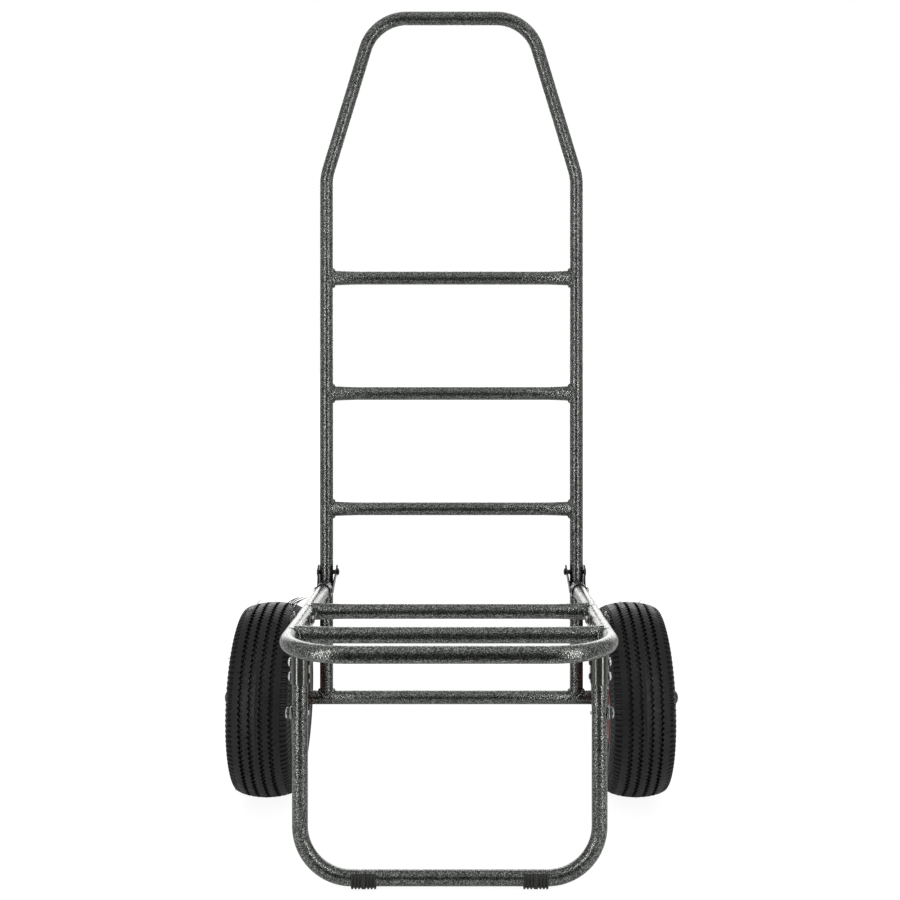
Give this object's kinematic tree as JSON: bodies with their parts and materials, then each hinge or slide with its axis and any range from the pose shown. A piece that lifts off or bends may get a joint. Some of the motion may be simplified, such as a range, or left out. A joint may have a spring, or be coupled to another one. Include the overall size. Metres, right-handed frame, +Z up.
{
  "type": "folding game cart",
  "caption": "Upright tube-frame hauling cart with a fold-up platform, a swinging front leg, cross rungs and air-filled wheels on a through axle.",
  "frame": {"origin": "on the ground, in the middle of the whole cart's width and depth", "axes": "+X to the right seen from the platform's side, +Y away from the platform, +Z up"},
  "size_m": [0.798, 0.653, 1.3679],
  "materials": {
    "hammered_paint": "hammered powder coat, grey-green with silver flecks, semi-gloss",
    "dark_paint": "dark hammered powder coat, semi-gloss",
    "tyre_rubber": "matt black rubber",
    "foot_rubber": "matt black ribbed rubber",
    "rim_paint": "glossy red enamel",
    "zinc": "bright zinc plate",
    "black_plastic": "black moulded plastic, satin"
  },
  "bodies": {
    "frame": {"main_tube": "hammered_paint", "lower_rung": "hammered_paint", "middle_rung": "hammered_paint", "upper_rung": "hammered_paint", "axle_tube": "hammered_paint", "axle_rod": "zinc", "inner_washer_left": "zinc", "outer_washer_left": "zinc", "axle_cap_left": "black_plastic", "inner_washer_right": "zinc", "outer_washer_right": "zinc", "axle_cap_right": "black_plastic", "fold_bolt_left": "dark_paint", "fold_nut_left": "dark_paint", "fold_bolt_right": "dark_paint", "fold_nut_right": "dark_paint"},
    "platform": {"platform_tube": "hammered_paint", "platform_rung_rear": "hammered_paint", "platform_rung_front": "hammered_paint", "fold_bracket_left": "dark_paint", "saddle_bolt_left": "zinc", "leg_bolt_left": "dark_paint", "leg_nut_left": "zinc", "fold_bracket_right": "dark_paint", "saddle_bolt_right": "zinc", "leg_bolt_right": "dark_paint", "leg_nut_right": "zinc"},
    "leg": {"leg_tube": "hammered_paint", "leg_bracket_left": "hammered_paint", "sleeve_bolt_upper_left": "zinc", "sleeve_bolt_lower_left": "zinc", "foot_left": "foot_rubber", "leg_bracket_right": "hammered_paint", "sleeve_bolt_upper_right": "zinc", "sleeve_bolt_lower_right": "zinc", "foot_right": "foot_rubber"},
    "wheel_left": {"tyre_left": "tyre_rubber", "rim_outer_left": "rim_paint", "rim_inner_left": "rim_paint", "rim_bolt_1_left": "zinc", "rim_bolt_2_left": "zinc", "rim_bolt_3_left": "zinc", "rim_bolt_4_left": "zinc", "valve_left": "black_plastic", "hub_left": "zinc", "bearing_inner_left": "zinc", "bearing_outer_left": "zinc"},
    "pin_left": {"lock_pin_left": "zinc"},
    "wheel_right": {"tyre_right": "tyre_rubber", "rim_outer_right": "rim_paint", "rim_inner_right": "rim_paint", "rim_bolt_1_right": "zinc", "rim_bolt_2_right": "zinc", "rim_bolt_3_right": "zinc", "rim_bolt_4_right": "zinc", "valve_right": "black_plastic", "hub_right": "zinc", "bearing_inner_right": "zinc", "bearing_outer_right": "zinc"},
    "pin_right": {"lock_pin_right": "zinc"}
  },
  "joints": [
    {"name": "platform_fold", "type": "hinge", "parent": "frame", "child": "platform", "pos_m": [0, 0.18141, 0.38525], "axis": [-1, 0, 0], "range_deg": [0, 90]},
    {"name": "leg_fold", "type": "hinge", "parent": "platform", "child": "leg", "pos_m": [0, -0.10325, 0.38451], "axis": [-1, 0, 0], "range_deg": [-90, 0]},
    {"name": "wheel_spin_left", "type": "hinge", "parent": "frame", "child": "wheel_left", "pos_m": [-0.327, 0.16203, 0.1651], "axis": [1, 0, 0], "continuous": true},
    {"name": "wheel_spin_right", "type": "hinge", "parent": "frame", "child": "wheel_right", "pos_m": [0.327, 0.16203, 0.1651], "axis": [1, 0, 0], "continuous": true},
    {"name": "lock_pull_left", "type": "slide", "parent": "leg", "child": "pin_left", "axis": [-1, 0, 0], "range_m": [0, 0.012]},
    {"name": "lock_pull_right", "type": "slide", "parent": "leg", "child": "pin_right", "axis": [1, 0, 0], "range_m": [0, 0.012]}
  ],
  "couplings": [
    {"joint": "leg_fold", "follows": "platform_fold", "ratio": -1}
  ]
}
